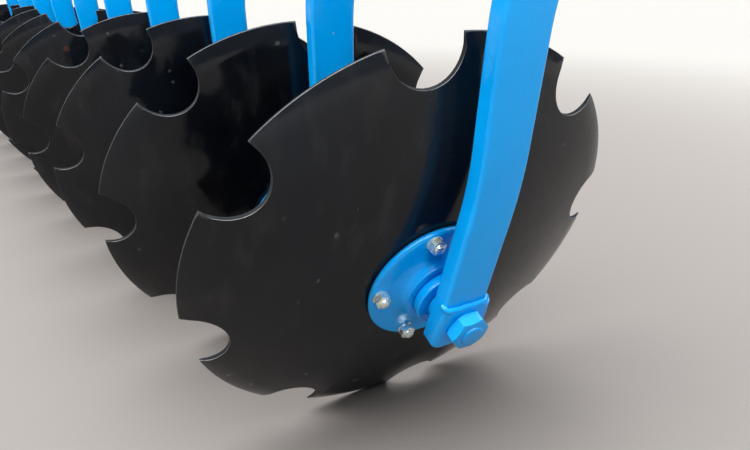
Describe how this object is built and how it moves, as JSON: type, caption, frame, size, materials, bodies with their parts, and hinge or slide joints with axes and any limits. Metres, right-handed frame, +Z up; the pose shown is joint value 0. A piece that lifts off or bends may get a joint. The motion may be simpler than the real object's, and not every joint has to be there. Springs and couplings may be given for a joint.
{
  "type": "disc harrow row with individually hung discs",
  "caption": "Row of notched dished discs on bent arms, each clamped in rubber to a square carrying beam.",
  "frame": {"origin": "middle of the row, centre of the bolt pattern on the upper face of the middle frame plate", "axes": "+X along the beam, +Y the way the row travels, +Z up, out of the frame plate's seat"},
  "size_m": [2.721, 0.5432, 0.8646],
  "materials": {
    "blue_paint": "gloss",
    "black_paint": "gloss",
    "rubber": "matte"
  },
  "bodies": {
    "row_frame": {"axle_1": "blue_paint", "axle_2": "blue_paint", "axle_3": "blue_paint", "axle_4": "blue_paint", "axle_5": "blue_paint", "axle_6": "blue_paint", "axle_7": "blue_paint", "axle_8": "blue_paint", "axle_9": "blue_paint", "axle_10": "blue_paint", "arm_1": "blue_paint", "arm_2": "blue_paint", "arm_3": "blue_paint", "arm_4": "blue_paint", "arm_5": "blue_paint", "arm_6": "blue_paint", "arm_7": "blue_paint", "arm_8": "blue_paint", "arm_9": "blue_paint", "arm_10": "blue_paint", "beam": "blue_paint", "end_plates": "blue_paint", "frame_plates": "blue_paint", "clamp_caps": "blue_paint", "rubber_rods": "rubber"},
    "disc_unit_1": {"disc_1": "black_paint", "hub_1": "blue_paint"},
    "disc_unit_2": {"disc_2": "black_paint", "hub_2": "blue_paint"},
    "disc_unit_3": {"disc_3": "black_paint", "hub_3": "blue_paint"},
    "disc_unit_4": {"disc_4": "black_paint", "hub_4": "blue_paint"},
    "disc_unit_5": {"disc_5": "black_paint", "hub_5": "blue_paint"},
    "disc_unit_6": {"disc_6": "black_paint", "hub_6": "blue_paint"},
    "disc_unit_7": {"disc_7": "black_paint", "hub_7": "blue_paint"},
    "disc_unit_8": {"disc_8": "black_paint", "hub_8": "blue_paint"},
    "disc_unit_9": {"disc_9": "black_paint", "hub_9": "blue_paint"},
    "disc_unit_10": {"disc_10": "black_paint", "hub_10": "blue_paint"}
  },
  "joints": [
    {"name": "disc_spin_1", "type": "hinge", "parent": "row_frame", "child": "disc_unit_1", "pos_m": [0.99513, -0.09381, -0.5568], "axis": [0.9237, -0.2475, -0.2924], "continuous": true},
    {"name": "disc_spin_2", "type": "hinge", "parent": "row_frame", "child": "disc_unit_2", "pos_m": [0.73713, -0.09381, -0.5568], "axis": [0.9237, -0.2475, -0.2924], "continuous": true},
    {"name": "disc_spin_3", "type": "hinge", "parent": "row_frame", "child": "disc_unit_3", "pos_m": [0.47913, -0.09381, -0.5568], "axis": [0.9237, -0.2475, -0.2924], "continuous": true},
    {"name": "disc_spin_4", "type": "hinge", "parent": "row_frame", "child": "disc_unit_4", "pos_m": [0.22113, -0.09381, -0.5568], "axis": [0.9237, -0.2475, -0.2924], "continuous": true},
    {"name": "disc_spin_5", "type": "hinge", "parent": "row_frame", "child": "disc_unit_5", "pos_m": [-0.03687, -0.09381, -0.5568], "axis": [0.9237, -0.2475, -0.2924], "continuous": true},
    {"name": "disc_spin_6", "type": "hinge", "parent": "row_frame", "child": "disc_unit_6", "pos_m": [-0.29487, -0.09381, -0.5568], "axis": [0.9237, -0.2475, -0.2924], "continuous": true},
    {"name": "disc_spin_7", "type": "hinge", "parent": "row_frame", "child": "disc_unit_7", "pos_m": [-0.55287, -0.09381, -0.5568], "axis": [0.9237, -0.2475, -0.2924], "continuous": true},
    {"name": "disc_spin_8", "type": "hinge", "parent": "row_frame", "child": "disc_unit_8", "pos_m": [-0.81087, -0.09381, -0.5568], "axis": [0.9237, -0.2475, -0.2924], "continuous": true},
    {"name": "disc_spin_9", "type": "hinge", "parent": "row_frame", "child": "disc_unit_9", "pos_m": [-1.06887, -0.09381, -0.5568], "axis": [0.9237, -0.2475, -0.2924], "continuous": true},
    {"name": "disc_spin_10", "type": "hinge", "parent": "row_frame", "child": "disc_unit_10", "pos_m": [-1.32687, -0.09381, -0.5568], "axis": [0.9237, -0.2475, -0.2924], "continuous": true}
  ]
}
